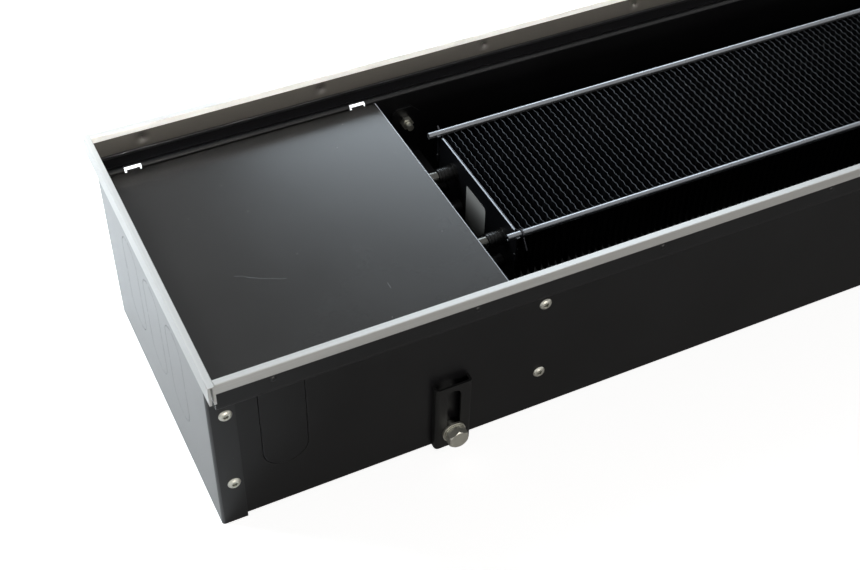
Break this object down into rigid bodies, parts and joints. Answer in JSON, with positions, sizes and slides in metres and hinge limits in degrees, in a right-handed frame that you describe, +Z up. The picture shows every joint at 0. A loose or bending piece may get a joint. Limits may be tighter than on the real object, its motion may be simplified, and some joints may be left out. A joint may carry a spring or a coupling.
{
  "type": "trench convector heater",
  "caption": "Floor trench convector: a folded sheet trench with a stepped rim, a finned heat exchanger, a hinged cover over the pipe connections and levelling feet",
  "frame": {"origin": "middle of the underside, on the plane that the two end caps stand on", "axes": "+X along the trench from the pipe connections to the far end, -Y is the front that the picture shows, +Z up"},
  "size_m": [1.004, 0.3016, 0.18],
  "materials": {
    "trench_coat": "satin black powder coat with a fine grain",
    "exchanger_coat": "thin satin black coat with bright cut edges",
    "anodised": "natural anodised, fine lengthwise grain",
    "zinc": "bright zinc plate",
    "nickel": "nickel-plated, satin",
    "collar": "matt black",
    "felt": "black felt strip"
  },
  "bodies": {
    "trench": {"trench_channel": "trench_coat", "rim_band_front": "trench_coat", "rim_band_rear": "trench_coat", "end_cap_left": "trench_coat", "end_cap_right": "trench_coat", "edge_trim_front": "anodised", "edge_trim_rear": "anodised", "edge_trim_left": "anodised", "edge_trim_right": "anodised", "grille_strip_front": "felt", "grille_strip_rear": "felt", "cross_bracket_left": "trench_coat", "cross_bracket_right": "trench_coat", "cap_screws": "zinc", "cap_nuts": "zinc", "bracket_screws": "zinc", "bracket_nuts": "zinc", "fin_pack": "exchanger_coat", "exchanger_tubes": "exchanger_coat", "return_bends_left": "exchanger_coat", "return_bends_right": "exchanger_coat", "exchanger_plate_left": "exchanger_coat", "exchanger_plate_right": "exchanger_coat", "plate_rivets": "zinc", "rail_front": "zinc", "rail_rear": "zinc", "rail_hooks": "exchanger_coat", "retaining_wires": "zinc", "tube_collars": "collar", "pipe_unions": "nickel", "cover_rests": "trench_coat", "foot_bolts": "zinc", "flat_washers": "zinc", "spring_washers": "zinc", "wall_nuts": "zinc"},
    "cover": {"cover_plate": "trench_coat"},
    "vent_screw": {"vent_screw": "nickel"},
    "foot_front_left": {"foot_front_left": "trench_coat"},
    "foot_front_right": {"foot_front_right": "trench_coat"},
    "foot_rear_left": {"foot_rear_left": "trench_coat"},
    "foot_rear_right": {"foot_rear_right": "trench_coat"}
  },
  "joints": [
    {"name": "cover_hinge", "type": "hinge", "parent": "trench", "child": "cover", "pos_m": [-0.37, 0.12762, 0.15138], "axis": [-1, 0, 0], "range_deg": [0, 60]},
    {"name": "vent_turn", "type": "hinge", "parent": "trench", "child": "vent_screw", "pos_m": [-0.2665, -0.03055, 0.127], "axis": [0, 1, 0], "range_deg": [0, 360]},
    {"name": "foot_front_left_slide", "type": "slide", "parent": "trench", "child": "foot_front_left", "axis": [0, 0, 1], "range_m": [-0.0415, 0]},
    {"name": "foot_front_right_slide", "type": "slide", "parent": "trench", "child": "foot_front_right", "axis": [0, 0, 1], "range_m": [-0.0415, 0]},
    {"name": "foot_rear_left_slide", "type": "slide", "parent": "trench", "child": "foot_rear_left", "axis": [0, 0, 1], "range_m": [-0.0415, 0]},
    {"name": "foot_rear_right_slide", "type": "slide", "parent": "trench", "child": "foot_rear_right", "axis": [0, 0, 1], "range_m": [-0.0415, 0]}
  ]
}
